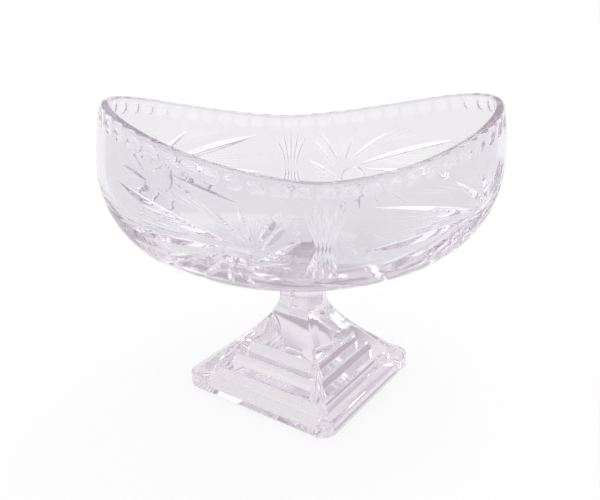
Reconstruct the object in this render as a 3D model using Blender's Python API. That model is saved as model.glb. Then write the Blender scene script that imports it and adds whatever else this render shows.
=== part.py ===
"""Boat-shaped cut-crystal fruit bowl on a square, hollow-stepped pedestal foot.

Units are metres and +Z is up. The origin lies under the middle of the foot,
and X runs along the bowl's long axis. A clear bond disc joins the two glasses.

The cut pattern is drawn on the bowl's outer wall laid flat: u runs round the
girdle from the +X end, and v runs up the wall from the edge of its flat seat.
"""
import math

import bmesh
import bpy
import numpy as np
from mathutils import Matrix, Vector
from mathutils.geometry import delaunay_2d_cdt

# Fits
JOINT_GAP = 0.0003            # between the bond and each of the glasses it joins

# Bowl, heights above its own underside
BOWL_LENGTH = 0.250
BOWL_WIDTH = 0.164
SEAT_LENGTH = 0.065           # flat oval under the bowl
GIRDLE_HEIGHT = 0.0686        # level where the wall is widest
SIDE_RIM_HEIGHT = 0.0811
END_RIM_HEIGHT = 0.1087
TUMBLEHOME = 0.0057           # lean of the wall from the girdle in to the end rim
WALL = 0.0052
FLOOR = 0.0100                # glass under the middle of the bowl
RIM_EDGE_RADIUS = 0.0014
RIM_SWEEP_POWER = 1.72        # how long the rim stays low along the sides
PLAN_POWER = 1.9              # superellipse power of the oval seen from above
PROFILE_RADIAL_POWER = 2.65   # superellipse powers of the wall below the girdle
PROFILE_HEIGHT_POWER = 1.98

# Cuts in the bowl's wall, drawn for one long side and repeated on the other
MITRE_SLOPE = 0.62            # depth of a V-shaped leaf over its half width
UNCUT_STRIP = 0.0004          # wall that every cut leaves plain along its edges

# Flutes: a row of upright grooves under the rim
SIDE_FLUTES = 27              # round half of the bowl
FLUTE_WIDTH = 0.0102
FLUTE_HEIGHT = 0.0080
FLUTE_DEPTH = 0.0008
FLUTE_START = 0.0006          # from the rim's rounded edge down to a flute
FLUTE_POWERS = (2.0, 5.0)     # round across, long and level up and down

# Comets: a hollow button with leaves that whirl round it, two on each side
FIRST_COMET_U = -0.0490       # from the middle of the side
FIRST_COMET_V = 0.0844
SECOND_COMET_U = 0.1026
SECOND_COMET_V = 0.0932
SECOND_COMET_TURN = math.radians(10.7)
BUTTON_WIDTH = 0.0186
BUTTON_HEIGHT = 0.0164
BUTTON_DEPTH = 0.0016
BUTTON_POWERS = (2.0, 2.0)
COMET_LEAVES = (              # root beside the button, heading in degrees, length, half width
    ((-0.0022, 0.0100), 159.4, 0.0740, 0.0032),
    ((-0.0060, 0.0072), 178.0, 0.0740, 0.0028),
    ((-0.0096, 0.0028), 203.0, 0.0560, 0.0028),
    ((-0.0094, -0.0026), 222.0, 0.0320, 0.0024),
    ((-0.0074, -0.0076), 252.0, 0.0220, 0.0021),
    ((-0.0030, -0.0110), 292.0, 0.0210, 0.0021),
    ((0.0044, -0.0104), 336.0, 0.0280, 0.0022),
    ((0.0076, -0.0066), 359.0, 0.0230, 0.0022),
    ((0.0099, -0.0028), 30.0, 0.0285, 0.0025),
    ((0.0140, 0.0060), 49.6, 0.0267, 0.0022),
    ((0.0126, 0.0110), 56.6, 0.0235, 0.0026),
    ((0.0084, 0.0104), 103.6, 0.0210, 0.0023),
    ((0.0066, 0.0112), 139.0, 0.0355, 0.0022),
)

# Sheaf: bent leaves bound at a waist, in the middle of each side
SHEAF_LEAVES = 5
SHEAF_WAIST_V = 0.0920
SHEAF_WAIST_PITCH = 0.0021
SHEAF_TOP_PITCH = 0.0061
SHEAF_FOOT_PITCH = 0.0054
SHEAF_REACH = 0.0270          # from the waist up, and from the waist down
SHEAF_OUTER_LOSS = 0.03       # how much shorter the outer leaves are
SHEAF_BEND_POWER = 1.7
SHEAF_HALF_WIDTH = 0.0019

# Pedestal: square foot with a smooth pyramid over it
FOOT_SIDE = 0.112
FOOT_CORNER_RADIUS = 0.0092
FOOT_EDGE_RADIUS = 0.0012     # round along the resting edge
SLAB_EDGE_HEIGHT = 0.0080     # straight side of the slab
SHOULDER_HEIGHT = 0.0125      # where the slab's rounded top meets the pyramid
SHOULDER_SIDE = 0.0994
FACE_ANGLE = math.radians(45.0)
HIP_RADIUS = 0.0020           # round along the pyramid's four edges
FOOT_TURN = math.radians(4.3)  # the foot is set a little off the bowl's axis

# Pedestal: octagonal stem that flares out as eight pointed facets
HIP_CREASE_HEIGHT = 0.0320    # where the facets die out on the pyramid's edges
FACE_CREASE_HEIGHT = 0.0365   # and on the middles of its faces
NECK_HEIGHT = 0.0600          # where the flare becomes a straight stem
NECK_RADIUS = 0.0155
NECK_EDGE_RADIUS = 0.0005
FLARE_POWER = 1.55
PEDESTAL_HEIGHT = 0.0807

# Pedestal: stepped hollow pressed into the underside, from the opening upwards
HOLLOW_SIDE = 0.087
HOLLOW_STEP_HEIGHTS = (0.0120, 0.0080, 0.0080)
HOLLOW_TREADS = (0.0090, 0.0059)
HOLLOW_DRAFT = math.radians(9.0)
HOLLOW_CORNER_RADIUS = 0.0022

# Bond
BOND_THICKNESS = 0.0005
BOND_INSET = 0.0006           # bond edge inside the stem's edge

# Mesh density
BOWL_SIDES = 96
WALL_STEP = 0.0090            # between rows of points on the uncut outer wall
LEAF_STEP = 0.0085            # between points along a leaf
LEAF_POINTS = 5               # fewest points along a leaf
HOLLOW_POINTS = 12            # round a flute or button
INSIDE_ROWS = 9
UPPER_ROWS = 3
EDGE_ROWS = 2
CORNER_POINTS = 5
SHOULDER_ROWS = 3
FLARE_ROWS = 5
SHARP_ANGLE = math.radians(28.0)
TABLE_STEPS = 1440            # steps of the tables that lay the wall flat
WELD = 0.000002               # joins the two halves of the wall and the rim

BOND_BOTTOM = PEDESTAL_HEIGHT + JOINT_GAP
BOWL_BOTTOM = BOND_BOTTOM + BOND_THICKNESS + JOINT_GAP
QUARTER = math.pi / 2


def clear_scene():
    for item in list(bpy.data.objects):
        bpy.data.objects.remove(item, do_unlink=True)


def glass(name, colour, roughness):
    material = bpy.data.materials.new(name)
    material.use_nodes = True
    shader = material.node_tree.nodes["Principled BSDF"]
    shader.inputs["Base Color"].default_value = (*colour, 1.0)
    shader.inputs["Roughness"].default_value = roughness
    shader.inputs["Metallic"].default_value = 0.0
    shader.inputs["Transmission Weight"].default_value = 1.0
    shader.inputs["IOR"].default_value = 1.54
    return material


def solid(name, mesh, material):
    """Named object from a closed mesh."""
    bmesh.ops.recalc_face_normals(mesh, faces=mesh.faces)
    data = bpy.data.meshes.new(name)
    mesh.to_mesh(data)
    mesh.free()
    data.shade_smooth()
    data.set_sharp_from_angle(angle=SHARP_ANGLE)
    data.materials.append(material)
    bpy.context.scene.collection.objects.link(bpy.data.objects.new(name, data))


def skin(mesh, rings):
    """Faces through rings of equal length; gives back the rings' corners."""
    loops = []
    for ring in rings:
        loops.append([mesh.verts.new(point) for point in ring])
    count = len(loops[0])
    for lower, upper in zip(loops, loops[1:]):
        for i in range(count):
            j = (i + 1) % count
            mesh.faces.new((lower[i], lower[j], upper[j], upper[i]))
    return loops


def loft(name, rings, material):
    """One closed solid through rings of equal length, capped at both ends."""
    mesh = bmesh.new()
    loops = skin(mesh, rings)
    mesh.faces.new(list(reversed(loops[0])))
    mesh.faces.new(loops[-1])
    solid(name, mesh, material)


def signed_power(value, power):
    return np.sign(value) * np.abs(value) ** power


def oval(half_length, half_width, angle):
    """Points of the bowl's plan, a superellipse close to an ellipse."""
    x = half_length * signed_power(np.cos(angle), 2.0 / PLAN_POWER)
    y = half_width * signed_power(np.sin(angle), 2.0 / PLAN_POWER)
    return x, y


def rim_height(angle):
    rise = END_RIM_HEIGHT - SIDE_RIM_HEIGHT
    return SIDE_RIM_HEIGHT + rise * np.abs(np.cos(angle)) ** RIM_SWEEP_POWER


def lean(height):
    """How far the wall has come in at a height above the girdle."""
    above = np.clip(height - GIRDLE_HEIGHT, 0.0, None)
    return TUMBLEHOME * (above / (END_RIM_HEIGHT - GIRDLE_HEIGHT)) ** 2


def profile(turn):
    """Shares out to the girdle's size and up to its height.

    The turn runs from 0 at the bottom to a right angle at the girdle.
    """
    out = np.sin(turn) ** (2.0 / PROFILE_RADIAL_POWER)
    up = 1.0 - np.clip(np.cos(turn), 0.0, 1.0) ** (2.0 / PROFILE_HEIGHT_POWER)
    return out, up


def level_oval(out, inset):
    """Half length and half width of the wall below the girdle."""
    girdle_length = BOWL_LENGTH / 2 - inset
    girdle_width = BOWL_WIDTH / 2 - inset
    seat = SEAT_LENGTH / 2
    half_length = seat + (girdle_length - seat) * out
    return half_length, half_length * girdle_width / girdle_length


def leaning_oval(height, inset):
    """Half length and half width of the wall above the girdle."""
    inward = lean(height)
    half_length = BOWL_LENGTH / 2 - inset - inward
    half_width = BOWL_WIDTH / 2 - inset - inward * BOWL_WIDTH / BOWL_LENGTH
    return half_length, half_width


def run_length(x, y):
    steps = np.hypot(np.diff(x), np.diff(y))
    return np.concatenate([[0.0], np.cumsum(steps)])


# Tables that lay the wall flat
PLAN_ANGLES = np.linspace(0.0, math.tau, TABLE_STEPS + 1)
PLAN_RUN = run_length(*oval(BOWL_LENGTH / 2, BOWL_WIDTH / 2, PLAN_ANGLES))
AROUND = PLAN_RUN[-1]
SIDE_TURNS = np.linspace(0.0, QUARTER, TABLE_STEPS + 1)
SIDE_OUT, SIDE_UP = profile(SIDE_TURNS)
SIDE_RUN = run_length(sum(level_oval(SIDE_OUT, 0.0)) / 2, GIRDLE_HEIGHT * SIDE_UP)
TO_GIRDLE = SIDE_RUN[-1]


def plan_angle(u):
    return np.interp(u, PLAN_RUN, PLAN_ANGLES)


def top_edge(u):
    """Where the outer wall ends and the rim's round edge begins, as v."""
    return TO_GIRDLE + rim_height(plan_angle(u)) - RIM_EDGE_RADIUS - GIRDLE_HEIGHT


def wall(flat):
    """Points of the uncut outer wall for (u, v) points of the flat one."""
    u, v = flat[..., 0], flat[..., 1]
    out, up = profile(np.interp(v, SIDE_RUN, SIDE_TURNS))
    height = GIRDLE_HEIGHT * up + np.clip(v - TO_GIRDLE, 0.0, None)
    below = level_oval(out, 0.0)
    above = leaning_oval(height, 0.0)
    half_length, half_width = np.where(v < TO_GIRDLE, below, above)
    x, y = oval(half_length, half_width, plan_angle(u))
    return np.stack([x, y, BOWL_BOTTOM + height], -1)


def wall_normals(flat):
    step = WELD * 10
    along = wall(flat + (step, 0.0)) - wall(flat - (step, 0.0))
    up = wall(flat + (0.0, step)) - wall(flat - (0.0, step))
    normal = np.cross(along, up)
    return normal / np.linalg.norm(normal, axis=-1, keepdims=True)


def wheel_path(start, end):
    """Flat line of a straight wheel cut, which is a plane section of the wall."""
    start, end = np.array(start), np.array(end)
    span = np.linalg.norm(end - start)
    count = max(LEAF_POINTS, round(span / LEAF_STEP) + 1)
    line = start + (end - start) * np.linspace(0.0, 1.0, count)[:, None]
    ends = wall(line[[0, -1]])
    plane = np.cross(ends[1] - ends[0], wall_normals(line[[0, -1]]).sum(0))
    across = np.array((start[1] - end[1], end[0] - start[0])) / span
    nudge = across * WELD
    for _ in range(4):
        off = (wall(line) - ends[0]) @ plane
        change = (wall(line + nudge) - wall(line)) @ plane / WELD
        line = line - (off / change)[:, None] * across
    return line


def leaf(path, half_width):
    """V-shaped cut along a path, pointed at both ends."""
    run = run_length(path[:, 0], path[:, 1])
    along = np.gradient(path, axis=0)
    along /= np.linalg.norm(along, axis=1, keepdims=True)
    sideways = np.stack([-along[:, 1], along[:, 0]], 1)

    def width(distance):
        return half_width * np.clip(1.0 - (2.0 * distance / run[-1] - 1.0) ** 2, 0.0, None)

    def inside(points):
        """How far points lie inside the leaf's outline."""
        best = np.full(len(points), np.inf)
        reached = np.zeros(len(points))
        for i, (a, b) in enumerate(zip(path, path[1:])):
            edge = b - a
            share = np.clip((points - a) @ edge / (edge @ edge), 0.0, 1.0)
            gap = np.linalg.norm(points - a - share[:, None] * edge, axis=1)
            nearer = gap < best
            best = np.where(nearer, gap, best)
            reached = np.where(nearer, run[i] + share * (run[i + 1] - run[i]), reached)
        return width(reached) - best

    def depth(points):
        return MITRE_SLOPE * np.clip(inside(points), 0.0, None)

    spread = sideways * width(run)[:, None]
    outline = np.concatenate([path + spread, (path - spread)[-2:0:-1]])
    return {"outline": outline, "middle": path, "inside": inside, "depth": depth}


def hollow(centre, half_width, half_height, deepest, powers, level):
    """Rounded hollow whose middle follows a level, given as v for each u."""
    across, upward = powers

    def filled(points):
        x = np.abs(points[:, 0] - centre) / half_width
        y = np.abs(points[:, 1] - level(points[:, 0])) / half_height
        return 1.0 - x ** across - y ** upward

    def inside(points):
        return filled(points) * min(half_width, half_height) / 2

    def depth(points):
        return deepest * np.clip(filled(points), 0.0, None)

    turn = np.arange(HOLLOW_POINTS) * math.tau / HOLLOW_POINTS
    u = centre + half_width * signed_power(np.cos(turn), 2.0 / across)
    v = level(u) + half_height * signed_power(np.sin(turn), 2.0 / upward)
    middle = np.array([[centre, level(np.array(centre))]])
    return {"outline": np.stack([u, v], 1), "middle": middle, "inside": inside, "depth": depth}


def flutes():
    pitch = AROUND / 2 / SIDE_FLUTES
    half_height = FLUTE_HEIGHT / 2

    def level(u):
        return top_edge(u) - FLUTE_START - half_height

    cuts = []
    for i in range(SIDE_FLUTES):
        centre = (i + 0.5) * pitch
        cuts.append(hollow(centre, FLUTE_WIDTH / 2, half_height, FLUTE_DEPTH, FLUTE_POWERS, level))
    return cuts


def comet(from_middle, centre_v, turn):
    centre_u = AROUND / 4 + from_middle
    spin = np.array(((math.cos(turn), -math.sin(turn)), (math.sin(turn), math.cos(turn))))
    centre = np.array((centre_u, centre_v))

    def level(u):
        return np.full_like(u, centre_v)

    cuts = [hollow(centre_u, BUTTON_WIDTH / 2, BUTTON_HEIGHT / 2, BUTTON_DEPTH, BUTTON_POWERS, level)]
    for root, degrees, length, half_width in COMET_LEAVES:
        heading = math.radians(degrees)
        tip = np.add(root, (length * math.cos(heading), length * math.sin(heading)))
        path = wheel_path(centre + spin @ root, centre + spin @ tip)
        cuts.append(leaf(path, half_width))
    return cuts


def sheaf():
    cuts = []
    share = np.linspace(0.0, 1.0, LEAF_POINTS)
    for i in range(SHEAF_LEAVES):
        place = i - (SHEAF_LEAVES - 1) / 2
        reach = SHEAF_REACH * (1.0 - SHEAF_OUTER_LOSS * place ** 2)
        for pitch, way in ((SHEAF_TOP_PITCH, 1.0), (SHEAF_FOOT_PITCH, -1.0)):
            spread = SHEAF_WAIST_PITCH + (pitch - SHEAF_WAIST_PITCH) * share ** SHEAF_BEND_POWER
            u = AROUND / 4 + place * spread
            v = SHEAF_WAIST_V + way * reach * share
            cuts.append(leaf(np.stack([u, v], 1), SHEAF_HALF_WIDTH))
    return cuts


def in_bounds(points):
    """Points of a cut, stopped at the plain strip along the wall's edges."""
    u = np.clip(points[:, 0], UNCUT_STRIP, AROUND / 2 - UNCUT_STRIP)
    v = np.clip(points[:, 1], UNCUT_STRIP, top_edge(u) - UNCUT_STRIP)
    return np.stack([u, v], 1)


def wall_border(rows):
    """Edge of half the flat wall, anticlockwise from the seat at the +X end."""
    u = np.arange(BOWL_SIDES // 2 + 1) * (AROUND / BOWL_SIDES)
    seat = np.stack([u, np.zeros(len(u))], 1)
    top = np.stack([u, top_edge(u)], 1)
    side = np.stack([np.zeros(len(rows)), rows], 1)
    return np.concatenate([seat, side + (AROUND / 2, 0.0), top[::-1], side[::-1]])


def cut_half_wall(cuts):
    """Corners and faces of half the outer wall, with every cut sunk into it."""
    row_count = round(top_edge(0.0) / WALL_STEP)
    rows = np.arange(1, row_count) * top_edge(0.0) / row_count
    border = wall_border(rows)
    points = list(border)
    edges = []
    u = np.arange(1, BOWL_SIDES // 2) * (AROUND / BOWL_SIDES)
    grid = np.stack(np.meshgrid(u, rows, indexing="ij"), -1).reshape(-1, 2)
    clear = top_edge(grid[:, 0]) - grid[:, 1] > WALL_STEP / 2
    for cut in cuts:
        clear &= cut["inside"](grid) < -WALL_STEP / 5
    points.extend(grid[clear])
    for cut in cuts:
        for line, closed in ((cut["outline"], True), (cut["middle"], False)):
            first = len(points)
            points.extend(in_bounds(line))
            last = len(points)
            edges.extend((i, i + 1) for i in range(first, last - 1))
            if closed:
                edges.append((last - 1, first))
    inner = [list(range(len(border)))]
    flat, _, faces, _, _, owners = delaunay_2d_cdt(
        [Vector(point) for point in points], edges, inner, 0, WELD / 20, True,
    )
    flat = np.array(flat)
    depth = np.zeros(len(flat))
    for cut in cuts:
        depth = np.maximum(depth, cut["depth"](flat))
    corners = wall(flat) - wall_normals(flat) * depth[:, None]
    return corners, [face for face, owner in zip(faces, owners) if owner]


def column_angles():
    return plan_angle(np.arange(BOWL_SIDES) * (AROUND / BOWL_SIDES))


def rim_ring(share, inset, drop):
    """Ring between girdle and rim; drop is how far under the rim it stops."""
    angle = column_angles()
    height = GIRDLE_HEIGHT + (rim_height(angle) - drop - GIRDLE_HEIGHT) * share
    x, y = oval(*leaning_oval(height, inset), angle)
    return np.stack([x, y, BOWL_BOTTOM + height], -1)


def inside_ring(turn):
    """Level ring of the bowl's inside between its floor and the girdle."""
    out, up = profile(turn)
    x, y = oval(*level_oval(out, WALL), column_angles())
    height = BOWL_BOTTOM + FLOOR + (GIRDLE_HEIGHT - FLOOR) * up
    return np.stack([x, y, np.full(BOWL_SIDES, height)], -1)


def rim_and_inside():
    """Rings over the rim's two rounded edges and down to the floor."""
    rings = []
    for row in range(EDGE_ROWS + 1):
        turn = QUARTER * row / EDGE_ROWS
        inset = RIM_EDGE_RADIUS * (1.0 - math.cos(turn))
        rings.append(rim_ring(1.0, inset, RIM_EDGE_RADIUS * (1.0 - math.sin(turn))))
    for row in range(EDGE_ROWS + 1):
        turn = QUARTER * row / EDGE_ROWS
        inset = WALL - RIM_EDGE_RADIUS * (1.0 - math.sin(turn))
        rings.append(rim_ring(1.0, inset, RIM_EDGE_RADIUS * (1.0 - math.cos(turn))))
    for row in reversed(range(1, UPPER_ROWS)):
        rings.append(rim_ring(row / UPPER_ROWS, WALL, RIM_EDGE_RADIUS))
    for row in reversed(range(INSIDE_ROWS + 1)):
        rings.append(inside_ring(QUARTER * row / INSIDE_ROWS))
    return rings


def make_bowl(material):
    first = comet(FIRST_COMET_U, FIRST_COMET_V, 0.0)
    second = comet(SECOND_COMET_U, SECOND_COMET_V, SECOND_COMET_TURN)
    half, faces = cut_half_wall(flutes() + first + second + sheaf())
    mesh = bmesh.new()
    for way in (1.0, -1.0):
        corners = [mesh.verts.new(point) for point in half * (way, way, 1.0)]
        for face in faces:
            mesh.faces.new([corners[i] for i in face])
    loops = skin(mesh, rim_and_inside())
    mesh.faces.new(loops[-1])
    bmesh.ops.remove_doubles(mesh, verts=mesh.verts, dist=WELD)
    seat = [edge for edge in mesh.edges if edge.is_boundary]
    bmesh.ops.contextual_create(mesh, geom=seat)
    solid("bowl", mesh, material)


def foot_ring(hip, hip_height, middle, middle_height, radius):
    """Eight-cornered ring: four rounded hip corners and four face middles.

    Hip and middle are distances from the axis to the sharp corner and to the
    middle of a face; the ring is a square when middle is hip over root two.
    """
    half = middle / math.sqrt(2.0)
    spread = math.atan2(hip - half, half)
    centre = hip - radius / math.cos(spread)
    turn = Matrix.Rotation(FOOT_TURN, 3, "Z")
    ring = []
    for side in range(4):
        quarter_turn = Matrix.Rotation(side * QUARTER, 3, "Z") @ turn
        for i in range(CORNER_POINTS):
            angle = spread * (2.0 * i / (CORNER_POINTS - 1) - 1.0)
            x = centre + radius * math.cos(angle)
            ring.append(quarter_turn @ Vector((x, radius * math.sin(angle), hip_height)))
        ring.append(quarter_turn @ Vector((half, half, middle_height)))
    return ring


def square_ring(half_side, height, radius):
    return foot_ring(half_side * math.sqrt(2.0), height, half_side, height, radius)


def face_distance(height):
    """Distance from the axis to a pyramid face at a height."""
    return SHOULDER_SIDE / 2 - (height - SHOULDER_HEIGHT) / math.tan(FACE_ANGLE)


def hollow_rings():
    """Stepped hollow from its top down to its opening in the underside."""
    half_side = HOLLOW_SIDE / 2
    height = 0.0
    rings = [square_ring(half_side, height, HOLLOW_CORNER_RADIUS)]
    for step, rise in enumerate(HOLLOW_STEP_HEIGHTS):
        height += rise
        half_side -= rise * math.tan(HOLLOW_DRAFT)
        rings.append(square_ring(half_side, height, HOLLOW_CORNER_RADIUS))
        if step < len(HOLLOW_TREADS):
            half_side -= HOLLOW_TREADS[step]
            rings.append(square_ring(half_side, height, HOLLOW_CORNER_RADIUS))
    return list(reversed(rings))


def slab_rings():
    half_side = FOOT_SIDE / 2
    inner = half_side - FOOT_EDGE_RADIUS
    rings = [
        square_ring(inner, 0.0, FOOT_CORNER_RADIUS - FOOT_EDGE_RADIUS),
        square_ring(half_side, FOOT_EDGE_RADIUS, FOOT_CORNER_RADIUS),
        square_ring(half_side, SLAB_EDGE_HEIGHT, FOOT_CORNER_RADIUS),
    ]
    shoulder = SHOULDER_SIDE / 2
    for row in range(1, SHOULDER_ROWS + 1):
        turn = QUARTER * row / SHOULDER_ROWS
        out = shoulder + (half_side - shoulder) * math.cos(turn)
        height = SLAB_EDGE_HEIGHT + (SHOULDER_HEIGHT - SLAB_EDGE_HEIGHT) * math.sin(turn)
        share = row / SHOULDER_ROWS
        radius = FOOT_CORNER_RADIUS + (HIP_RADIUS - FOOT_CORNER_RADIUS) * share
        rings.append(square_ring(out, height, radius))
    return rings


def flare_rings():
    """From the creases on the pyramid up to the straight octagonal stem."""
    hip_start = face_distance(HIP_CREASE_HEIGHT) * math.sqrt(2.0)
    middle_start = face_distance(FACE_CREASE_HEIGHT)
    rings = []
    for row in range(FLARE_ROWS + 1):
        share = row / FLARE_ROWS
        fall = (1.0 - share) ** FLARE_POWER
        hip = NECK_RADIUS + (hip_start - NECK_RADIUS) * fall
        middle = NECK_RADIUS + (middle_start - NECK_RADIUS) * fall
        hip_height = HIP_CREASE_HEIGHT + (NECK_HEIGHT - HIP_CREASE_HEIGHT) * share
        middle_height = FACE_CREASE_HEIGHT + (NECK_HEIGHT - FACE_CREASE_HEIGHT) * share
        radius = HIP_RADIUS + (NECK_EDGE_RADIUS - HIP_RADIUS) * share
        rings.append(foot_ring(hip, hip_height, middle, middle_height, radius))
    return rings


def make_pedestal(material):
    top = foot_ring(NECK_RADIUS, PEDESTAL_HEIGHT, NECK_RADIUS, PEDESTAL_HEIGHT, NECK_EDGE_RADIUS)
    rings = hollow_rings() + slab_rings() + flare_rings() + [top]
    loft("pedestal", rings, material)


def make_bond(material):
    radius = NECK_RADIUS - BOND_INSET
    rings = []
    for height in (BOND_BOTTOM, BOND_BOTTOM + BOND_THICKNESS):
        rings.append(foot_ring(radius, height, radius, height, NECK_EDGE_RADIUS))
    loft("bond", rings, material)


def main():
    clear_scene()
    make_bowl(glass("bowl_crystal", (0.93, 0.91, 0.95), 0.02))
    make_pedestal(glass("pedestal_crystal", (0.93, 0.91, 0.95), 0.03))
    make_bond(glass("clear_bond", (0.95, 0.94, 0.94), 0.10))


main()
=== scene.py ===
"""Cut-crystal pedestal fruit bowl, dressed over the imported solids.

The bowl's outer wall is laid flat, u round the girdle and v up the wall. The cut
pattern is drawn there, triangulated and sunk into the wall as real facets.
Units are metres.
"""
import math

import bmesh
import bpy
import numpy as np
from mathutils import Matrix, Vector
from mathutils.geometry import delaunay_2d_cdt


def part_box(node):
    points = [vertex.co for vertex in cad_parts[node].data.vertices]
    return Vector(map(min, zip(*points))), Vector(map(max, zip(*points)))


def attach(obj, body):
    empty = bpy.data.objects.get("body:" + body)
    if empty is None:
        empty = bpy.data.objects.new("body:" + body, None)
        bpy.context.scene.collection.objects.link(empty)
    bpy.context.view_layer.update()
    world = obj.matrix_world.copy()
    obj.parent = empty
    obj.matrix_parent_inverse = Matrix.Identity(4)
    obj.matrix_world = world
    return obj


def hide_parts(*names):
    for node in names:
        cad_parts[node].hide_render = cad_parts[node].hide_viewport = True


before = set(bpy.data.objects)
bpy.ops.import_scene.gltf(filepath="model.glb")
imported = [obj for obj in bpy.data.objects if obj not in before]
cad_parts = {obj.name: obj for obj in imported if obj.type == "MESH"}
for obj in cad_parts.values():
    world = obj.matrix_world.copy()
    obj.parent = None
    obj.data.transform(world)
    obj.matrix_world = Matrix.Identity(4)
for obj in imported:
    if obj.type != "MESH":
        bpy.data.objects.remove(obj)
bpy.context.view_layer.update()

QUARTER = math.pi / 2

# Bowl, sizes shared with the solid
bowl_low, bowl_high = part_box("bowl")
BOWL_BOTTOM = bowl_low.z
BOWL_LENGTH = bowl_high.x - bowl_low.x
BOWL_WIDTH = bowl_high.y - bowl_low.y
END_RIM_HEIGHT = bowl_high.z - bowl_low.z
SEAT_LENGTH = 0.065
GIRDLE_HEIGHT = 0.0686
SIDE_RIM_HEIGHT = 0.0811
TUMBLEHOME = 0.0057
WALL = 0.0052
FLOOR = 0.0100
RIM_EDGE_RADIUS = 0.0018
RIM_SWEEP_POWER = 1.72
PLAN_POWER = 1.9
PROFILE_RADIAL_POWER = 2.65
PROFILE_HEIGHT_POWER = 1.98

# Cuts, drawn for one long side and repeated on the other
MITRE_SLOPE = 0.54
LIP_SLOPE = 0.70              # steeper strip inside a leaf's outline
LIP_WIDTH = 0.0004
KEEL_SLOPE = 0.9              # steep bottom of a leaf
KEEL_WIDTH = 0.0004
KEEL_SHARE = 0.25             # most of a leaf's half width that its keel takes
EDGE_SOFTNESS = 0.00015       # how far polishing rounds the edge of a cut
LEAF_SLOPES = (LIP_SLOPE, MITRE_SLOPE, KEEL_SLOPE)
FINE_HALF_WIDTH = 0.00040
FINE_SLOPE = 0.40
FINE_SLOPES = (FINE_SLOPE, FINE_SLOPE, FINE_SLOPE)
FINE_SOFTNESS = EDGE_SOFTNESS / 2

# Painted light in the glass's tint: a painted highlight on the cuts above nought, painted shade on
# the rim below
LEAF_PAINTED_HIGHLIGHT = 1.0
FLUTE_PAINTED_HIGHLIGHT = 0.85
BUTTON_PAINTED_HIGHLIGHT = 0.25
RIM_PAINTED_SHADE = -1.5

# Flutes: upright grooves under the rim
SIDE_FLUTES = 27
FLUTE_WIDTH = 0.0102
FLUTE_HEIGHT = 0.0080
FLUTE_DEPTH = 0.0009
FLUTE_START = 0.0006          # bare glass between a flute and the rim's round edge
FLUTE_POWERS = (2.4, 2.0)     # roundness across and upwards, 2 for an oval
FLUTE_LIP = 0.0

# Comets: a hollow button with leaves that whirl round it
COMETS = (                    # distance from the side's middle, place up the wall, turn
    (-0.0490, 0.0844, 0.0),
    (0.1026, 0.0932, math.radians(10.7)),
)
BUTTON_WIDTH = 0.0186
BUTTON_HEIGHT = 0.0164
BUTTON_DEPTH = 0.0022
BUTTON_POWERS = (2.0, 2.0)
BUTTON_LIP = 1.2              # how much steeper the lip is than the bulge it edges
HOLLOW_LIP_SHARE = 0.15       # share of a hollow's bulge that its lip takes
COMET_LEAVES = (              # root beside the button, heading in degrees, length, half width
    ((-0.0022, 0.0100), 159.4, 0.0740, 0.0032),
    ((-0.0060, 0.0072), 178.0, 0.0740, 0.0028),
    ((-0.0096, 0.0028), 203.0, 0.0560, 0.0028),
    ((-0.0094, -0.0026), 222.0, 0.0320, 0.0024),
    ((-0.0074, -0.0076), 252.0, 0.0220, 0.0021),
    ((-0.0030, -0.0110), 292.0, 0.0210, 0.0021),
    ((0.0044, -0.0104), 336.0, 0.0280, 0.0022),
    ((0.0076, -0.0066), 359.0, 0.0230, 0.0022),
    ((0.0099, -0.0028), 30.0, 0.0285, 0.0025),
    ((0.0140, 0.0060), 49.6, 0.0267, 0.0022),
    ((0.0126, 0.0110), 56.6, 0.0235, 0.0026),
    ((0.0084, 0.0104), 103.6, 0.0210, 0.0023),
    ((0.0066, 0.0112), 139.0, 0.0355, 0.0022),
)
COMET_COMBS = (               # count of fine lines, then the first and last line's root and tip
    (9, ((-0.0165, 0.0172), (-0.0600, 0.0290)), ((-0.0180, 0.0096), (-0.0660, 0.0110))),
    (4, ((-0.0240, 0.0295), (-0.0500, 0.0380)), ((-0.0120, 0.0270), (-0.0270, 0.0375))),
    (5, ((0.0106, 0.0156), (0.0086, 0.0280)), ((0.0132, 0.0144), (0.0186, 0.0245))),
    (3, ((0.0204, 0.0174), (0.0286, 0.0300)), ((0.0214, 0.0162), (0.0310, 0.0282))),
    (4, ((0.0186, 0.0040), (0.0330, 0.0074)), ((0.0174, -0.0036), (0.0310, -0.0036))),
)

# Sheaf: bent leaves bound at a waist
SHEAF_LEAVES = 5
SHEAF_WAIST_V = 0.0920
SHEAF_WAIST_PITCH = 0.0021
SHEAF_TOP_PITCH = 0.0061
SHEAF_FOOT_PITCH = 0.0054
SHEAF_REACH = 0.0270
SHEAF_OUTER_LOSS = 0.03
SHEAF_BEND_POWER = 1.7
SHEAF_HALF_WIDTH = 0.0019

# Bowl's mesh
BOWL_SIDES = 264
WALL_STEP = 0.0026
LEAF_STEP = 0.0030
FINE_STEP = 0.0060
LEAF_POINTS = 7
PATH_ROUNDS = 5               # rounds that bring a wheel's path onto its plane
BUTTON_POINTS = 40
FLUTE_POINTS = 32
HOLLOW_RINGS = 5
EDGE_ROWS = 6
UPPER_ROWS = 10
INSIDE_ROWS = 44
INSIDE_ROW_POWER = 1.3        # crowds the rows of the inside towards its floor
TABLE_STEPS = 7200
WELD = 0.000002
NORMAL_STEP = WELD * 10       # how far from a point its normal is measured
TOP_CLEARANCE = WALL_STEP / 2     # bare strip between the wall's grid and its top
CUT_CLEARANCE = WALL_STEP / 4     # bare strip between the wall's grid and a cut
PAINTED_HIGHLIGHT_MARGIN = EDGE_SOFTNESS / 4   # how far a cut's painted highlight reaches past its outline
FLAT_SCALE = 1000.0           # the flat wall is triangulated in millimetres
FLAT_WELD = 0.0001
CUT_SHARP_ANGLE = math.radians(16.0)


def signed_power(value, power):
    return np.sign(value) * np.abs(value) ** power


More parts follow.
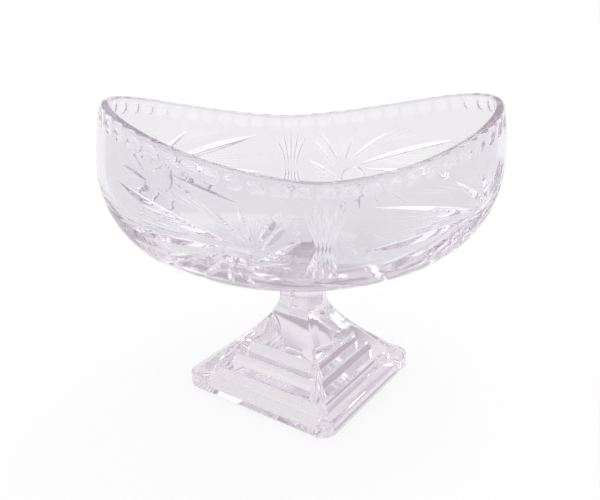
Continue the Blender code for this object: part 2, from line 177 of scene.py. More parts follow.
def oval(half_length, half_width, angle):
    x = half_length * signed_power(np.cos(angle), 2.0 / PLAN_POWER)
    y = half_width * signed_power(np.sin(angle), 2.0 / PLAN_POWER)
    return x, y


def rim_height(angle):
    rise = END_RIM_HEIGHT - SIDE_RIM_HEIGHT
    return SIDE_RIM_HEIGHT + rise * np.abs(np.cos(angle)) ** RIM_SWEEP_POWER


def lean(height):
    above = np.clip(height - GIRDLE_HEIGHT, 0.0, None)
    return TUMBLEHOME * (above / (END_RIM_HEIGHT - GIRDLE_HEIGHT)) ** 2


def profile(turn):
    """Shares out to the girdle's size and up to its height."""
    out = np.sin(turn) ** (2.0 / PROFILE_RADIAL_POWER)
    up = 1.0 - np.clip(np.cos(turn), 0.0, 1.0) ** (2.0 / PROFILE_HEIGHT_POWER)
    return out, up


def level_oval(out, inset):
    """Half length and half width of the wall below the girdle."""
    girdle_length = BOWL_LENGTH / 2 - inset
    girdle_width = BOWL_WIDTH / 2 - inset
    half_length = SEAT_LENGTH / 2 + (girdle_length - SEAT_LENGTH / 2) * out
    return half_length, half_length * girdle_width / girdle_length


def leaning_oval(height, inset):
    """Half length and half width of the wall above the girdle."""
    inward = lean(height)
    half_length = BOWL_LENGTH / 2 - inset - inward
    half_width = BOWL_WIDTH / 2 - inset - inward * BOWL_WIDTH / BOWL_LENGTH
    return half_length, half_width


def run_length(x, y):
    steps = np.hypot(np.diff(x), np.diff(y))
    return np.concatenate([[0.0], np.cumsum(steps)])


# Tables that lay the wall flat
PLAN_ANGLES = np.linspace(0.0, math.tau, TABLE_STEPS + 1)
PLAN_RUN = run_length(*oval(BOWL_LENGTH / 2, BOWL_WIDTH / 2, PLAN_ANGLES))
AROUND = PLAN_RUN[-1]
SIDE_TURNS = np.linspace(0.0, QUARTER, TABLE_STEPS + 1)
SIDE_OUT, SIDE_UP = profile(SIDE_TURNS)
SIDE_RUN = run_length(sum(level_oval(SIDE_OUT, 0.0)) / 2, GIRDLE_HEIGHT * SIDE_UP)
TO_GIRDLE = SIDE_RUN[-1]


def plan_angle(u):
    return np.interp(u, PLAN_RUN, PLAN_ANGLES)


def top_edge(u):
    """Where the outer wall ends and the rim's round edge begins, as v."""
    return TO_GIRDLE + rim_height(plan_angle(u)) - RIM_EDGE_RADIUS - GIRDLE_HEIGHT


def wall(flat):
    """Points of the uncut outer wall for (u, v) points of the flat one."""
    u, v = flat[..., 0], flat[..., 1]
    out, up = profile(np.interp(v, SIDE_RUN, SIDE_TURNS))
    height = GIRDLE_HEIGHT * up + np.clip(v - TO_GIRDLE, 0.0, None)
    below = level_oval(out, 0.0)
    above = leaning_oval(height, 0.0)
    half_length, half_width = np.where(v < TO_GIRDLE, below, above)
    x, y = oval(half_length, half_width, plan_angle(u))
    return np.stack([x, y, BOWL_BOTTOM + height], -1)


def wall_normals(flat):
    along = wall(flat + (NORMAL_STEP, 0.0)) - wall(flat - (NORMAL_STEP, 0.0))
    up = wall(flat + (0.0, NORMAL_STEP)) - wall(flat - (0.0, NORMAL_STEP))
    normal = np.cross(along, up)
    return normal / np.linalg.norm(normal, axis=-1, keepdims=True)


def wheel_path(start, end, step):
    """Flat line of a straight wheel cut, which is a plane section of the wall."""
    start, end = np.array(start), np.array(end)
    span = np.linalg.norm(end - start)
    count = max(LEAF_POINTS, round(span / step) + 1)
    line = start + (end - start) * np.linspace(0.0, 1.0, count)[:, None]
    ends = wall(line[[0, -1]])
    plane = np.cross(ends[1] - ends[0], wall_normals(line[[0, -1]]).sum(0))
    across = np.array((start[1] - end[1], end[0] - start[0])) / span
    nudge = across * WELD
    for _ in range(PATH_ROUNDS):
        off = (wall(line) - ends[0]) @ plane
        change = (wall(line + nudge) - wall(line)) @ plane / WELD
        line = line - (off / change)[:, None] * across
    return line


def soft_ramp(value, softness):
    """Nought below, the value itself above, and a smooth bend between."""
    bend = (value + softness) ** 2 / (4.0 * softness)
    return np.where(value > softness, value, np.where(value > -softness, bend, 0.0))


def leaf(path, half_width, slopes, softness):
    """V-shaped cut along a path, pointed at both ends, with polished edges.

    The slopes are those of its lip, its faces and its keel.
    """
    lip_slope, slope, keel_slope = slopes
    run = run_length(path[:, 0], path[:, 1])
    along = np.gradient(path, axis=0)
    along /= np.linalg.norm(along, axis=1, keepdims=True)
    sideways = np.stack([-along[:, 1], along[:, 0]], 1)

    def width(distance):
        return half_width * np.clip(1.0 - (2.0 * distance / run[-1] - 1.0) ** 2, 0.0, None)

    def keel(distance):
        return np.minimum(KEEL_WIDTH, width(distance) * KEEL_SHARE)

    def measure(points):
        """How far points lie from the path, and where along it."""
        best = np.full(len(points), np.inf)
        reached = np.zeros(len(points))
        for i, (a, b) in enumerate(zip(path, path[1:])):
            edge = b - a
            share = np.clip((points - a) @ edge / (edge @ edge), 0.0, 1.0)
            gap = np.linalg.norm(points - a - share[:, None] * edge, axis=1)
            nearer = gap < best
            best = np.where(nearer, gap, best)
            reached = np.where(nearer, run[i] + share * (run[i + 1] - run[i]), reached)
        return best, reached

    def inside(points):
        """How far points lie inside the leaf's outline."""
        gap, reached = measure(points)
        return width(reached) - gap

    def depth(points):
        gap, reached = measure(points)
        ramp = soft_ramp(width(reached) - gap, softness)
        lip = np.minimum(ramp, LIP_WIDTH)
        bottom = np.clip(keel(reached) - gap, 0.0, None)
        return slope * ramp + (lip_slope - slope) * lip + (keel_slope - slope) * bottom

    spreads = [width(run) + softness, width(run), width(run) - softness]
    if lip_slope > slope:
        spreads += [width(run) - LIP_WIDTH, keel(run)]
    outlines = []
    for spread in spreads:
        offset = sideways * np.clip(spread, 0.0, None)[:, None]
        outlines.append(np.concatenate([path + offset, (path - offset)[::-1]]))
    # Each cut carries its painted highlight, a lighter tint that stands in for the light its facets
    # catch
    return {
        "outlines": outlines, "middle": path, "inside": inside, "depth": depth,
        "painted_light": LEAF_PAINTED_HIGHLIGHT,
    }


def hollow(centre, half_width, half_height, deepest, powers, lip, level, count, painted_light):
    """Rounded hollow whose middle follows a level, given as v for each u."""
    across, upward = powers
    softness = 2.0 * EDGE_SOFTNESS / min(half_width, half_height)

    def filled(points):
        x = np.abs(points[:, 0] - centre) / half_width
        y = np.abs(points[:, 1] - level(points[:, 0])) / half_height
        return 1.0 - x ** across - y ** upward

    def inside(points):
        return filled(points) * min(half_width, half_height) / 2

    def depth(points):
        ramp = soft_ramp(filled(points), softness)
        return deepest * (ramp + lip * np.minimum(ramp, HOLLOW_LIP_SHARE))

    turn = np.arange(count) * math.tau / count
    outlines = []
    shares = [1.0 + softness, 1.0, 1.0 - softness, 1.0 - HOLLOW_LIP_SHARE]
    shares += [(1.0 - ring / HOLLOW_RINGS) ** 2 for ring in range(1, HOLLOW_RINGS)]
    for share in shares:
        reach = math.sqrt(share)
        u = centre + half_width * signed_power(reach * np.cos(turn), 2.0 / across)
        v = level(u) + half_height * signed_power(reach * np.sin(turn), 2.0 / upward)
        outlines.append(np.stack([u, v], 1))
    middle = np.array([[centre, level(np.array(centre))]])
    # The hollow carries its painted highlight, a lighter tint that stands in for the light it
    # catches
    return {
        "outlines": outlines, "middle": middle, "inside": inside, "depth": depth,
        "painted_light": painted_light,
    }


def flutes():
    pitch = AROUND / 2 / SIDE_FLUTES
    half_height = FLUTE_HEIGHT / 2

    def level(u):
        return top_edge(u) - FLUTE_START - half_height

    cuts = []
    for i in range(SIDE_FLUTES):
        cuts.append(hollow(
            (i + 0.5) * pitch, FLUTE_WIDTH / 2, half_height,
            FLUTE_DEPTH, FLUTE_POWERS, FLUTE_LIP, level, FLUTE_POINTS, FLUTE_PAINTED_HIGHLIGHT,
        ))
    return cuts


def comet(from_middle, centre_v, turn):
    """Button, whirling leaves and combs of fine lines."""
    centre_u = AROUND / 4 + from_middle
    spin = np.array(((math.cos(turn), -math.sin(turn)), (math.sin(turn), math.cos(turn))))

    def place(point):
        return spin @ point + (centre_u, centre_v)

    def level(u):
        return np.full_like(u, centre_v)

    cuts = [hollow(
        centre_u, BUTTON_WIDTH / 2, BUTTON_HEIGHT / 2,
        BUTTON_DEPTH, BUTTON_POWERS, BUTTON_LIP, level, BUTTON_POINTS, BUTTON_PAINTED_HIGHLIGHT,
    )]
    for root, degrees, length, half_width in COMET_LEAVES:
        heading = math.radians(degrees)
        tip = np.add(root, (length * math.cos(heading), length * math.sin(heading)))
        path = wheel_path(place(root), place(tip), LEAF_STEP)
        cuts.append(leaf(path, half_width, LEAF_SLOPES, EDGE_SOFTNESS))
    for count, first, last in COMET_COMBS:
        for share in np.linspace(0.0, 1.0, count):
            root, tip = np.array(first) * (1.0 - share) + np.array(last) * share
            path = wheel_path(place(root), place(tip), FINE_STEP)
            cuts.append(leaf(path, FINE_HALF_WIDTH, FINE_SLOPES, FINE_SOFTNESS))
    return cuts


def sheaf():
    cuts = []
    share = np.linspace(0.0, 1.0, round(SHEAF_REACH / LEAF_STEP) + 1)
    for i in range(SHEAF_LEAVES):
        place = i - (SHEAF_LEAVES - 1) / 2
        reach = SHEAF_REACH * (1.0 - SHEAF_OUTER_LOSS * place ** 2)
        for pitch, way in ((SHEAF_TOP_PITCH, 1.0), (SHEAF_FOOT_PITCH, -1.0)):
            spread = SHEAF_WAIST_PITCH + (pitch - SHEAF_WAIST_PITCH) * share ** SHEAF_BEND_POWER
            path = np.stack([AROUND / 4 + place * spread, SHEAF_WAIST_V + way * reach * share], 1)
            cuts.append(leaf(path, SHEAF_HALF_WIDTH, LEAF_SLOPES, EDGE_SOFTNESS))
    return cuts


def wall_border(rows):
    """Edge of half the flat wall, anticlockwise from the seat at the +X end."""
    u = np.arange(BOWL_SIDES // 2 + 1) * (AROUND / BOWL_SIDES)
    seat = np.stack([u, np.zeros(len(u))], 1)
    top = np.stack([u, top_edge(u)], 1)
    side = np.stack([np.zeros(len(rows)), rows], 1)
    return np.concatenate([seat, side + (AROUND / 2, 0.0), top[::-1], side[::-1]])


def cut_half_wall(cuts):
    """Corners, painted light (a painted highlight on the cuts) and faces of half the outer wall,
    with every cut sunk into it.
    """
    row_count = round(top_edge(0.0) / WALL_STEP)
    rows = np.arange(1, row_count) * top_edge(0.0) / row_count
    border = wall_border(rows)
    points = list(border)
    edges = []
    u = np.arange(1, BOWL_SIDES // 2) * (AROUND / BOWL_SIDES)
    grid = np.stack(np.meshgrid(u, rows, indexing="ij"), -1).reshape(-1, 2)
    clear = top_edge(grid[:, 0]) - grid[:, 1] > TOP_CLEARANCE
    for cut in cuts:
        clear &= cut["inside"](grid) < -CUT_CLEARANCE
    points.extend(grid[clear])

    def add(line, closed):
        first = len(points)
        points.extend(line)
        last = len(points)
        edges.extend((i, i + 1) for i in range(first, last - 1))
        if closed:
            edges.append((last - 1, first))

    for cut in cuts:
        for outline in cut["outlines"]:
            add(outline, True)
        add(cut["middle"], False)
    scaled = [Vector(point) * FLAT_SCALE for point in points]
    half_border = [list(range(len(border)))]
    made, _, faces, _, _, owners = delaunay_2d_cdt(scaled, edges, half_border, 0, FLAT_WELD, True)
    flat = np.array(made) / FLAT_SCALE
    depth = np.zeros(len(flat))
    painted_light = np.zeros(len(flat))
    for cut in cuts:
        low = cut["outlines"][0].min(0) - WALL_STEP
        high = cut["outlines"][0].max(0) + WALL_STEP
        near = np.all((flat > low) & (flat < high), axis=1)
        depth[near] = np.maximum(depth[near], cut["depth"](flat[near]))
        # Painted highlight: each cut's lighter tint, kept within its outline
        within = cut["inside"](flat[near]) > -PAINTED_HIGHLIGHT_MARGIN
        painted_light[near] = np.maximum(painted_light[near], within * cut["painted_light"])
    corners = wall(flat) - wall_normals(flat) * depth[:, None]
    return corners, painted_light, [face for face, owner in zip(faces, owners) if owner]


def column_angles():
    return plan_angle(np.arange(BOWL_SIDES) * (AROUND / BOWL_SIDES))


def rim_ring(share, inset, drop):
    """Ring between girdle and rim; drop is how far under the rim it stops."""
    angle = column_angles()
    height = GIRDLE_HEIGHT + (rim_height(angle) - drop - GIRDLE_HEIGHT) * share
    x, y = oval(*leaning_oval(height, inset), angle)
    return np.stack([x, y, BOWL_BOTTOM + height], -1)


def inside_ring(turn):
    """Level ring of the bowl's inside between its floor and the girdle."""
    out, up = profile(turn)
    x, y = oval(*level_oval(out, WALL), column_angles())
    height = BOWL_BOTTOM + FLOOR + (GIRDLE_HEIGHT - FLOOR) * up
    return np.stack([x, y, np.full(BOWL_SIDES, height)], -1)


def rim_and_inside():
    """Rings over the rim's two rounded edges and down to the floor."""
    rings = []
    for row in range(EDGE_ROWS + 1):
        turn = QUARTER * row / EDGE_ROWS
        inset = RIM_EDGE_RADIUS * (1.0 - math.cos(turn))
        rings.append(rim_ring(1.0, inset, RIM_EDGE_RADIUS * (1.0 - math.sin(turn))))
    for row in range(EDGE_ROWS + 1):
        turn = QUARTER * row / EDGE_ROWS
        inset = WALL - RIM_EDGE_RADIUS * (1.0 - math.sin(turn))
        rings.append(rim_ring(1.0, inset, RIM_EDGE_RADIUS * (1.0 - math.cos(turn))))
    for row in reversed(range(1, UPPER_ROWS)):
        rings.append(rim_ring(row / UPPER_ROWS, WALL, RIM_EDGE_RADIUS))
    for row in reversed(range(1, INSIDE_ROWS + 1)):
        rings.append(inside_ring(QUARTER * (row / INSIDE_ROWS) ** INSIDE_ROW_POWER))
    return rings


def skin(mesh, rings):
    """Faces through rings of equal length; gives back the rings' corners."""
    loops = [[mesh.verts.new(point) for point in ring] for ring in rings]
    for lower, upper in zip(loops, loops[1:]):
        for i in range(len(lower)):
            j = (i + 1) % len(lower)
            mesh.faces.new((lower[i], lower[j], upper[j], upper[i]))
    return loops


def finished(name, mesh, sharp_angle):
    bmesh.ops.recalc_face_normals(mesh, faces=mesh.faces)
    data = bpy.data.meshes.new(name)
    mesh.to_mesh(data)
    mesh.free()
    data.shade_smooth()
    data.set_sharp_from_angle(angle=sharp_angle)
    piece = bpy.data.objects.new(name, data)
    bpy.context.scene.collection.objects.link(piece)
    return piece


def make_bowl():
    cuts = flutes() + sheaf()
    for place in COMETS:
        cuts += comet(*place)
    half, painted_light, faces = cut_half_wall(cuts)
    mesh = bmesh.new()
    layer = mesh.verts.layers.float.new("painted_light")
    for way in (1.0, -1.0):
        corners = [mesh.verts.new(point) for point in half * (way, way, 1.0)]
        for corner, value in zip(corners, painted_light):
            corner[layer] = float(value)
        for face in faces:
            mesh.faces.new([corners[i] for i in face])
    loops = skin(mesh, rim_and_inside())
    # Painted shade on the top: from halfway round the outer edge nearly to the end of the inner one
    shaded_rim_loops = loops[EDGE_ROWS // 2:2 * EDGE_ROWS + 1]
    for loop in shaded_rim_loops:
        for corner in loop:
            corner[layer] = RIM_PAINTED_SHADE
    middle = mesh.verts.new((0.0, 0.0, BOWL_BOTTOM + FLOOR))
    for a, b in zip(loops[-1], loops[-1][1:] + loops[-1][:1]):
        mesh.faces.new((a, b, middle))
    bmesh.ops.remove_doubles(mesh, verts=mesh.verts, dist=WELD)
    seat = [edge for edge in mesh.edges if edge.is_boundary]
    bmesh.ops.contextual_create(mesh, geom=seat)
    return finished("crystal_bowl", mesh, CUT_SHARP_ANGLE)


bowl = make_bowl()
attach(bowl, "root")
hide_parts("bowl")

# Pedestal, sizes shared with the solid
FOOT_SIDE = 0.112
FOOT_CORNER_RADIUS = 0.0092
FOOT_EDGE_RADIUS = 0.0012
SLAB_EDGE_HEIGHT = 0.0080
SHOULDER_HEIGHT = 0.0125
SHOULDER_SIDE = 0.0994
FACE_ANGLE = math.radians(45.0)
HIP_RADIUS = 0.0020
FOOT_TURN = math.radians(4.3)
HIP_CREASE_HEIGHT = 0.0320
FACE_CREASE_HEIGHT = 0.0365
NECK_HEIGHT = 0.0600
NECK_RADIUS = 0.0155
NECK_EDGE_RADIUS = 0.0005
FLARE_POWER = 1.55
PEDESTAL_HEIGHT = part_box("pedestal")[1].z
HOLLOW_SIDE = 0.087
HOLLOW_STEP_HEIGHTS = (0.0120, 0.0080, 0.0080)
HOLLOW_TREADS = (0.0090, 0.0059)
HOLLOW_DRAFT = math.radians(9.0)
HOLLOW_CORNER_RADIUS = 0.0022

# Pedestal's mesh
CORNER_POINTS = 9
FOOT_EDGE_ROWS = 3
SHOULDER_ROWS = 8
FLARE_ROWS = 14
FIRE_POLISH = 0.0005          # how far the pressing's edges are rounded
FIRE_POLISH_ROWS = 2
FOOT_SHARP_ANGLE = math.radians(22.0)
FOOT_BEVEL_ANGLE = math.radians(24.0)


def foot_ring(hip, hip_height, middle, middle_height, radius):
    """Four rounded hip corners and four face middles of one level."""
    half = middle / math.sqrt(2.0)
    spread = math.atan2(hip - half, half)
    centre = hip - radius / math.cos(spread)
    ring = []
    for side in range(4):
        spin = Matrix.Rotation(side * QUARTER + FOOT_TURN, 3, "Z")
        for i in range(CORNER_POINTS):
            angle = spread * (2.0 * i / (CORNER_POINTS - 1) - 1.0)
            x = centre + radius * math.cos(angle)
            ring.append(spin @ Vector((x, radius * math.sin(angle), hip_height)))
        ring.append(spin @ Vector((half, half, middle_height)))
    return ring


def square_ring(half_side, height, radius):
    return foot_ring(half_side * math.sqrt(2.0), height, half_side, height, radius)


def face_distance(height):
    """Distance from the axis to a pyramid face at a height."""
    return SHOULDER_SIDE / 2 - (height - SHOULDER_HEIGHT) / math.tan(FACE_ANGLE)


def hollow_rings():
    """Stepped hollow from its top down to its opening in the underside."""
    half_side = HOLLOW_SIDE / 2
    height = 0.0
    rings = [square_ring(half_side, height, HOLLOW_CORNER_RADIUS)]
    for step, rise in enumerate(HOLLOW_STEP_HEIGHTS):
        height += rise
        half_side -= rise * math.tan(HOLLOW_DRAFT)
        rings.append(square_ring(half_side, height, HOLLOW_CORNER_RADIUS))
        if step < len(HOLLOW_TREADS):
            half_side -= HOLLOW_TREADS[step]
            rings.append(square_ring(half_side, height, HOLLOW_CORNER_RADIUS))
    return list(reversed(rings))


def slab_rings():
    half_side = FOOT_SIDE / 2
    rings = []
    for row in range(FOOT_EDGE_ROWS + 1):
        turn = QUARTER * row / FOOT_EDGE_ROWS
        inset = FOOT_EDGE_RADIUS * (1.0 - math.sin(turn))
        height = FOOT_EDGE_RADIUS * (1.0 - math.cos(turn))
        rings.append(square_ring(half_side - inset, height, FOOT_CORNER_RADIUS - inset))
    shoulder = SHOULDER_SIDE / 2
    for row in range(SHOULDER_ROWS + 1):
        turn = QUARTER * row / SHOULDER_ROWS
        out = shoulder + (half_side - shoulder) * math.cos(turn)
        height = SLAB_EDGE_HEIGHT + (SHOULDER_HEIGHT - SLAB_EDGE_HEIGHT) * math.sin(turn)
        radius = FOOT_CORNER_RADIUS + (HIP_RADIUS - FOOT_CORNER_RADIUS) * row / SHOULDER_ROWS
        rings.append(square_ring(out, height, radius))
    return rings


def flare_rings():
    """From the creases on the pyramid up to the straight octagonal stem."""
    hip_start = face_distance(HIP_CREASE_HEIGHT) * math.sqrt(2.0)
    middle_start = face_distance(FACE_CREASE_HEIGHT)
    rings = []
    for row in range(FLARE_ROWS + 1):
        share = row / FLARE_ROWS
        fall = (1.0 - share) ** FLARE_POWER
        rings.append(foot_ring(
            NECK_RADIUS + (hip_start - NECK_RADIUS) * fall,
            HIP_CREASE_HEIGHT + (NECK_HEIGHT - HIP_CREASE_HEIGHT) * share,
            NECK_RADIUS + (middle_start - NECK_RADIUS) * fall,
            FACE_CREASE_HEIGHT + (NECK_HEIGHT - FACE_CREASE_HEIGHT) * share,
            HIP_RADIUS + (NECK_EDGE_RADIUS - HIP_RADIUS) * share,
        ))
    return rings


def make_pedestal():
    top = foot_ring(NECK_RADIUS, PEDESTAL_HEIGHT, NECK_RADIUS, PEDESTAL_HEIGHT, NECK_EDGE_RADIUS)
    mesh = bmesh.new()
    loops = skin(mesh, hollow_rings() + slab_rings() + flare_rings() + [top])
    mesh.faces.new(list(reversed(loops[0])))
    mesh.faces.new(loops[-1])
    piece = finished("crystal_pedestal", mesh, FOOT_SHARP_ANGLE)
    bevel = piece.modifiers.new("fire_polish", "BEVEL")
    bevel.width = FIRE_POLISH
    bevel.segments = FIRE_POLISH_ROWS
    bevel.limit_method = "ANGLE"
    bevel.angle_limit = FOOT_BEVEL_ANGLE
    bevel.use_clamp_overlap = True
    weigh = piece.modifiers.new("flat_faces", "WEIGHTED_NORMAL")
    weigh.keep_sharp = True
    return piece


pedestal = make_pedestal()
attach(pedestal, "root")
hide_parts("pedestal")

# Glass: a tint at its skin, and a body colour that deepens with thickness
GLASS_IOR = 1.54
BOWL_TINT = (0.866, 0.856, 0.878)
BOWL_DEEPER_TINT = (0.847, 0.837, 0.860)
FOOT_TINT = (0.853, 0.828, 0.859)
FOOT_DEEPER_TINT = (0.832, 0.805, 0.837)
BOND_TINT = (0.960, 0.950, 0.950)
BOND_DEEPER_TINT = (0.930, 0.920, 0.920)
PAINTED_LIGHT_GAIN = 0.132        # how much painted light of one lightens the tint; below nought it darkens it as painted shade
BODY_COLOUR = (0.71, 0.65, 0.71)
BOWL_DENSITY = 3.8
FOOT_DENSITY = 1.0
STRIAE_SCALE = 26.0
STRIAE_DETAIL = 2.0
STRIAE_RANGE = (0.35, 0.65)
POLISH_SCALE = 240.0
POLISH_DETAIL = 4.0
POLISH_RANGE = (0.3, 0.7)
POLISH_ROUGHNESS = (0.005, 0.030)
WAVE_HEIGHT = 0.0004
GLASS_WAVE = 0.25
BOND_WAVE = 0.10


def crystal(name, tint, deeper, density, wave):
    """Lead glass with faint striae, a soft wavy surface and an uneven polish."""
    material = bpy.data.materials.new(name)
    material.use_nodes = True
    nodes = material.node_tree.nodes
    links = material.node_tree.links
    shader = nodes["Principled BSDF"]
    shader.inputs["Transmission Weight"].default_value = 1.0
    shader.inputs["IOR"].default_value = GLASS_IOR
    where = nodes.new("ShaderNodeTexCoord")
    striae = nodes.new("ShaderNodeTexNoise")
    striae.inputs["Scale"].default_value = STRIAE_SCALE
    striae.inputs["Detail"].default_value = STRIAE_DETAIL
    links.new(where.outputs["Object"], striae.inputs["Vector"])
    tone = nodes.new("ShaderNodeValToRGB")
    tone.color_ramp.elements[0].position = STRIAE_RANGE[0]
    tone.color_ramp.elements[0].color = (*deeper, 1.0)
    tone.color_ramp.elements[1].position = STRIAE_RANGE[1]
    tone.color_ramp.elements[1].color = (*tint, 1.0)
    links.new(striae.outputs["Fac"], tone.inputs["Fac"])
    # Only the bowl's mesh carries painted light, a painted highlight on its cuts and painted shade
    # on its rim; elsewhere it reads nought and the tone stays
    painted_light = nodes.new("ShaderNodeAttribute")
    painted_light.attribute_name = "painted_light"
    gain = nodes.new("ShaderNodeMath")
    gain.operation = "MULTIPLY_ADD"
    gain.inputs[1].default_value = PAINTED_LIGHT_GAIN
    gain.inputs[2].default_value = 1.0
    links.new(painted_light.outputs["Fac"], gain.inputs[0])
    shade = nodes.new("ShaderNodeVectorMath")
    shade.operation = "SCALE"
    links.new(tone.outputs["Color"], shade.inputs[0])
    links.new(gain.outputs[0], shade.inputs["Scale"])
    links.new(shade.outputs["Vector"], shader.inputs["Base Color"])
    polish = nodes.new("ShaderNodeTexNoise")
    polish.inputs["Scale"].default_value = POLISH_SCALE
    polish.inputs["Detail"].default_value = POLISH_DETAIL
    links.new(where.outputs["Object"], polish.inputs["Vector"])
    rough = nodes.new("ShaderNodeMapRange")
    rough.inputs["From Min"].default_value = POLISH_RANGE[0]
    rough.inputs["From Max"].default_value = POLISH_RANGE[1]
    rough.inputs["To Min"].default_value = POLISH_ROUGHNESS[0]
    rough.inputs["To Max"].default_value = POLISH_ROUGHNESS[1]
    links.new(polish.outputs["Fac"], rough.inputs["Value"])
    links.new(rough.outputs["Result"], shader.inputs["Roughness"])
    bump = nodes.new("ShaderNodeBump")
    bump.inputs["Strength"].default_value = wave
    bump.inputs["Distance"].default_value = WAVE_HEIGHT
    links.new(striae.outputs["Fac"], bump.inputs["Height"])
    links.new(bump.outputs["Normal"], shader.inputs["Normal"])
    body = nodes.new("ShaderNodeVolumeAbsorption")
    body.inputs["Color"].default_value = (*BODY_COLOUR, 1.0)
    body.inputs["Density"].default_value = density
    links.new(body.outputs["Volume"], nodes["Material Output"].inputs["Volume"])
    return material


cut_crystal = crystal("bowl_crystal_cut", BOWL_TINT, BOWL_DEEPER_TINT, BOWL_DENSITY, GLASS_WAVE)
bowl.data.materials.append(cut_crystal)
pressed = crystal("pedestal_crystal_pressed", FOOT_TINT, FOOT_DEEPER_TINT, FOOT_DENSITY, GLASS_WAVE)
pedestal.data.materials.append(pressed)
bond_resin = crystal("bond_resin", BOND_TINT, BOND_DEEPER_TINT, FOOT_DENSITY, BOND_WAVE)
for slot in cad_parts["bond"].material_slots:
    slot.material = bond_resin

# Studio
FLOOR_RADIUS = 15.0
FLOOR_SEGMENTS = 96
FLOOR_DROP = 0.0003
FLOOR_COLOUR = (0.17, 0.17, 0.17, 1.0)
FLOOR_GLOW = (0.840, 0.838, 0.841, 1.0)
FLOOR_ROUGHNESS = 0.9
SKY = (1.0, 0.965, 0.99, 1.0)
# Soft grey and bright parts of the studio, each laid over those before it
SKY_PATCHES = (               # direction, where its edge starts and ends as a cosine, colour
    ((0.3, 0.62, 0.8), 0.90, 0.97, (0.78, 0.72, 0.77, 1.0)),
    ((0.0, 0.0, -1.0), -0.43, -0.38, (0.58, 0.53, 0.57, 1.0)),
    ((0.0, 0.0, -1.0), -0.27, -0.22, (1.50, 1.50, 1.50, 1.0)),
    ((0.1, -1.0, 0.25), 0.75, 0.95, (0.60, 0.53, 0.57, 1.0)),
    ((1.0, 0.1, 0.30), 0.85, 0.95, (0.60, 0.53, 0.59, 1.0)),
    ((0.0, 0.0, -1.0), -0.085, -0.060, (1.06, 1.05, 1.06, 1.0)),
)
KEY_PLACE = (1.0, 1.1, 2.4)
KEY_TARGET = (0.0, 0.0, 0.1)
KEY_SIZE = 1.6
KEY_ENERGY = 11.0


def larger(nodes, links, first, second):
    node = nodes.new("ShaderNodeMath")
    node.operation = "MAXIMUM"
    links.new(first, node.inputs[0])
    links.new(second, node.inputs[1])
    return node.outputs[0]


def seen_directly(nodes, links):
    """One for rays from the camera and through or off the glass, else nought."""
    path = nodes.new("ShaderNodeLightPath")
    bent = larger(nodes, links, path.outputs["Is Glossy Ray"], path.outputs["Is Transmission Ray"])
    return larger(nodes, links, path.outputs["Is Camera Ray"], bent)


def make_floor():
    mesh = bmesh.new()
    bmesh.ops.create_circle(mesh, cap_ends=True, segments=FLOOR_SEGMENTS, radius=FLOOR_RADIUS)
    data = bpy.data.meshes.new("floor")
    mesh.to_mesh(data)
    mesh.free()
    floor = bpy.data.objects.new("floor", data)
    floor.location.z = -FLOOR_DROP
    bpy.context.scene.collection.objects.link(floor)
    material = bpy.data.materials.new("floor_paper")
    material.use_nodes = True
    nodes = material.node_tree.nodes
    links = material.node_tree.links
    shader = nodes["Principled BSDF"]
    shader.inputs["Base Color"].default_value = FLOOR_COLOUR
    shader.inputs["Roughness"].default_value = FLOOR_ROUGHNESS
    shader.inputs["Specular IOR Level"].default_value = 0.0
    shader.inputs["Emission Color"].default_value = FLOOR_GLOW
    links.new(seen_directly(nodes, links), shader.inputs["Emission Strength"])
    data.materials.append(material)


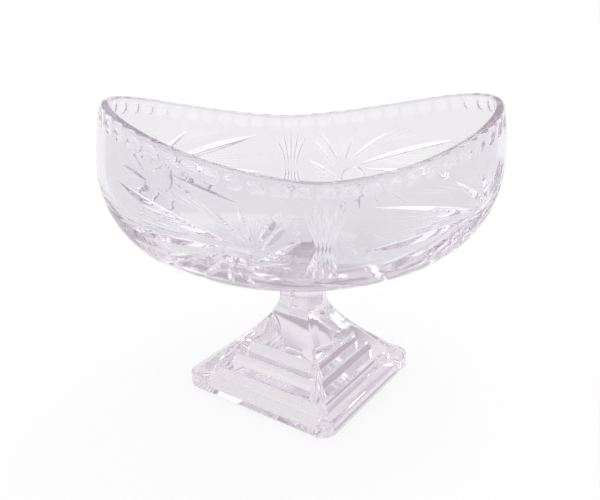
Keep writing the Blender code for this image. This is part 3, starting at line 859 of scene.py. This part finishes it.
def make_world():
    world = bpy.data.worlds.new("studio")
    bpy.context.scene.world = world
    world.use_nodes = True
    nodes = world.node_tree.nodes
    links = world.node_tree.links
    background = nodes["Background"]
    where = nodes.new("ShaderNodeTexCoord")
    base = nodes.new("ShaderNodeRGB")
    base.outputs[0].default_value = SKY
    sky = base.outputs[0]
    for direction, start, end, colour in SKY_PATCHES:
        facing = nodes.new("ShaderNodeVectorMath")
        facing.operation = "DOT_PRODUCT"
        facing.inputs[1].default_value = Vector(direction).normalized()
        links.new(where.outputs["Generated"], facing.inputs[0])
        amount = nodes.new("ShaderNodeMapRange")
        amount.interpolation_type = "SMOOTHSTEP"
        amount.inputs["From Min"].default_value = start
        amount.inputs["From Max"].default_value = end
        links.new(facing.outputs["Value"], amount.inputs["Value"])
        blend = nodes.new("ShaderNodeMix")
        blend.data_type = "RGBA"
        links.new(amount.outputs["Result"], blend.inputs["Factor"])
        links.new(sky, blend.inputs["A"])
        blend.inputs["B"].default_value = colour
        sky = blend.outputs["Result"]
    links.new(sky, background.inputs["Color"])


def make_lamp(name, place, target, size, energy):
    light = bpy.data.lights.new(name, "AREA")
    light.shape = "DISK"
    light.size = size
    light.energy = energy
    holder = bpy.data.objects.new(name, light)
    holder.location = place
    aim = Vector(target) - Vector(place)
    holder.rotation_euler = aim.to_track_quat("-Z", "Y").to_euler()
    bpy.context.scene.collection.objects.link(holder)


# Camera, fitted to the photograph's outline
CAMERA_LENS = 43.80
CAMERA_SENSOR = 36.0
CAMERA_PLACE = (-0.0592, -0.4311, 0.2746)
CAMERA_TARGET = (-0.0024, 0.0003, 0.0923)
CAMERA_ROLL = math.radians(0.94)


def make_camera():
    camera = bpy.data.cameras.new("camera")
    camera.lens = CAMERA_LENS
    camera.sensor_width = CAMERA_SENSOR
    holder = bpy.data.objects.new("camera", camera)
    aim = Vector(CAMERA_TARGET) - Vector(CAMERA_PLACE)
    roll = Matrix.Rotation(CAMERA_ROLL, 4, "Z").to_quaternion()
    holder.location = CAMERA_PLACE
    holder.rotation_mode = "QUATERNION"
    holder.rotation_quaternion = aim.to_track_quat("-Z", "Y") @ roll
    bpy.context.scene.collection.objects.link(holder)
    bpy.context.scene.camera = holder


make_floor()
make_world()
make_lamp("key", KEY_PLACE, KEY_TARGET, KEY_SIZE, KEY_ENERGY)
make_camera()

GLASS_BOUNCES = 128           # light is caught for long in cut glass
scene = bpy.context.scene
scene.view_settings.view_transform = "Standard"
scene.cycles.max_bounces = GLASS_BOUNCES
scene.cycles.transmission_bounces = GLASS_BOUNCES
scene.cycles.glossy_bounces = GLASS_BOUNCES
